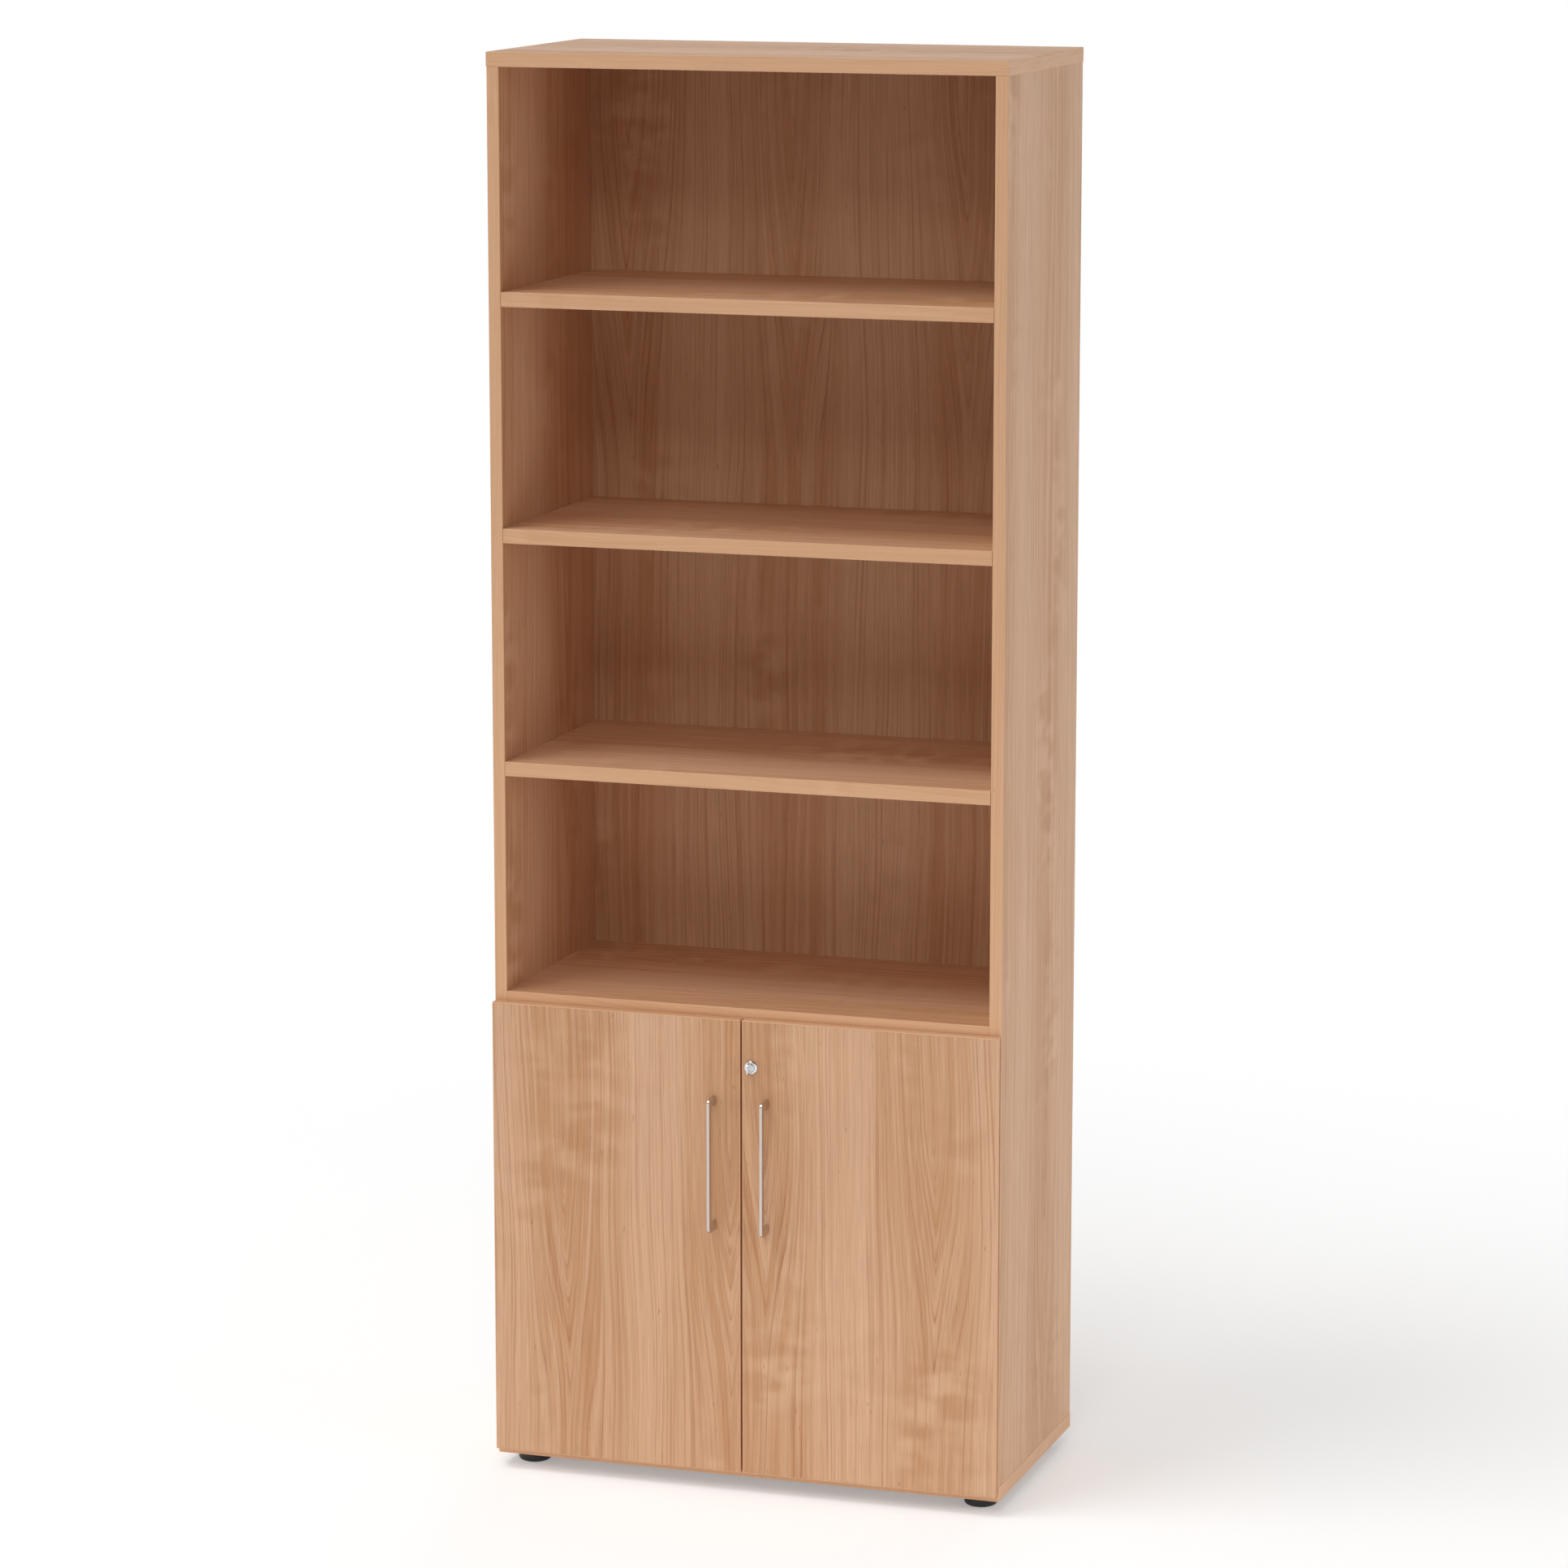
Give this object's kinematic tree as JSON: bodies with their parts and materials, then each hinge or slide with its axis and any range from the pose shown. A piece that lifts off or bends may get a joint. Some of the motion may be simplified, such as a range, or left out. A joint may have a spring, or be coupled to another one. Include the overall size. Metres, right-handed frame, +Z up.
{
  "type": "bookcase with cabinet doors",
  "caption": "Tall wood-decor bookcase with open shelves over a lockable lower cabinet: hinged doors with bow handles, concealed hinges, slide bolt and levelling feet.",
  "frame": {"origin": "on the floor, under the middle of the outline with the handles", "axes": "+Z up along the height, the doors face -Y, +X to the right seen from the front"},
  "size_m": [0.8, 0.452, 2.16],
  "materials": {
    "board_decor": "printed cherry wood decor, satin melamine",
    "door_decor": "printed cherry wood decor, satin melamine",
    "back_decor": "printed cherry wood decor, satin melamine",
    "dowel_beech": "plain turned beech",
    "handle_metal": "satin nickel plated",
    "lock_chrome": "polished chrome plated",
    "hinge_steel": "nickel plated pressed steel",
    "screw_steel": "zinc plated",
    "foot_plastic": "black moulded plastic",
    "bolt_plastic": "dark moulded plastic",
    "bumper_rubber": "soft translucent rubber"
  },
  "bodies": {
    "carcass": {"back_panel": "back_decor", "base_panel": "board_decor", "cabinet_shelf": "board_decor", "carcass_dowels": "dowel_beech", "fixed_shelf": "board_decor", "foot_inserts": "hinge_steel", "hinge_arm_left_lower": "hinge_steel", "hinge_arm_left_upper": "hinge_steel", "hinge_arm_right_lower": "hinge_steel", "hinge_arm_right_upper": "hinge_steel", "hinge_plate_left_lower": "hinge_steel", "hinge_plate_left_upper": "hinge_steel", "hinge_plate_right_lower": "hinge_steel", "hinge_plate_right_upper": "hinge_steel", "hinge_plate_screws_left": "screw_steel", "hinge_plate_screws_right": "screw_steel", "shelf_lower": "board_decor", "shelf_middle": "board_decor", "shelf_pins": "hinge_steel", "shelf_upper": "board_decor", "side_panel_left": "board_decor", "side_panel_right": "board_decor", "top_panel": "board_decor"},
    "door_left": {"door_left": "door_decor", "handle_left": "handle_metal", "handle_screws_left": "screw_steel", "door_bumpers_left": "bumper_rubber", "hinge_pins_left": "hinge_steel", "hinge_cup_left_upper": "hinge_steel", "hinge_cup_left_lower": "hinge_steel", "hinge_cup_screws_left": "screw_steel", "lock_keeper": "hinge_steel", "lock_keeper_screws": "screw_steel", "bolt_guide": "bolt_plastic", "bolt_screws": "screw_steel"},
    "door_right": {"door_right": "door_decor", "handle_right": "handle_metal", "handle_screws_right": "screw_steel", "door_bumpers_right": "bumper_rubber", "hinge_pins_right": "hinge_steel", "hinge_cup_right_upper": "hinge_steel", "hinge_cup_right_lower": "hinge_steel", "hinge_cup_screws_right": "screw_steel", "lock_housing": "hinge_steel", "lock_rosette": "lock_chrome", "lock_nut": "hinge_steel"},
    "lock_core": {"lock_cylinder": "lock_chrome", "lock_key": "lock_chrome", "lock_cam": "hinge_steel", "lock_cam_screw": "screw_steel"},
    "door_bolt": {"bolt_rod": "hinge_steel"},
    "foot_front_left": {"foot_pad_front_left": "foot_plastic", "foot_stud_front_left": "hinge_steel"},
    "foot_front_right": {"foot_pad_front_right": "foot_plastic", "foot_stud_front_right": "hinge_steel"},
    "foot_rear_left": {"foot_pad_rear_left": "foot_plastic", "foot_stud_rear_left": "hinge_steel"},
    "foot_rear_right": {"foot_pad_rear_right": "foot_plastic", "foot_stud_rear_right": "hinge_steel"}
  },
  "joints": [
    {"name": "door_left_swing", "type": "hinge", "parent": "carcass", "child": "door_left", "pos_m": [-0.39071, -0.187, 0.3825], "axis": [0, 0, -1], "range_deg": [0, 105], "stiffness_Nm_per_rad": 0.5, "springref_deg": -20.05},
    {"name": "door_right_swing", "type": "hinge", "parent": "carcass", "child": "door_right", "pos_m": [0.39071, -0.187, 0.3825], "axis": [0, 0, 1], "range_deg": [0, 105], "stiffness_Nm_per_rad": 0.5, "springref_deg": -20.05},
    {"name": "lock_turn", "type": "hinge", "parent": "door_right", "child": "lock_core", "pos_m": [0.0165, -0.178, 0.663], "axis": [0, 1, 0], "range_deg": [0, 90]},
    {"name": "bolt_slide", "type": "slide", "parent": "door_left", "child": "door_bolt", "axis": [0, 0, 1], "range_m": [0, 0.012]},
    {"name": "foot_front_left_level", "type": "slide", "parent": "carcass", "child": "foot_front_left", "axis": [0, 0, -1], "range_m": [0, 0.01]},
    {"name": "foot_front_right_level", "type": "slide", "parent": "carcass", "child": "foot_front_right", "axis": [0, 0, -1], "range_m": [0, 0.01]},
    {"name": "foot_rear_left_level", "type": "slide", "parent": "carcass", "child": "foot_rear_left", "axis": [0, 0, -1], "range_m": [0, 0.01]},
    {"name": "foot_rear_right_level", "type": "slide", "parent": "carcass", "child": "foot_rear_right", "axis": [0, 0, -1], "range_m": [0, 0.01]}
  ]
}
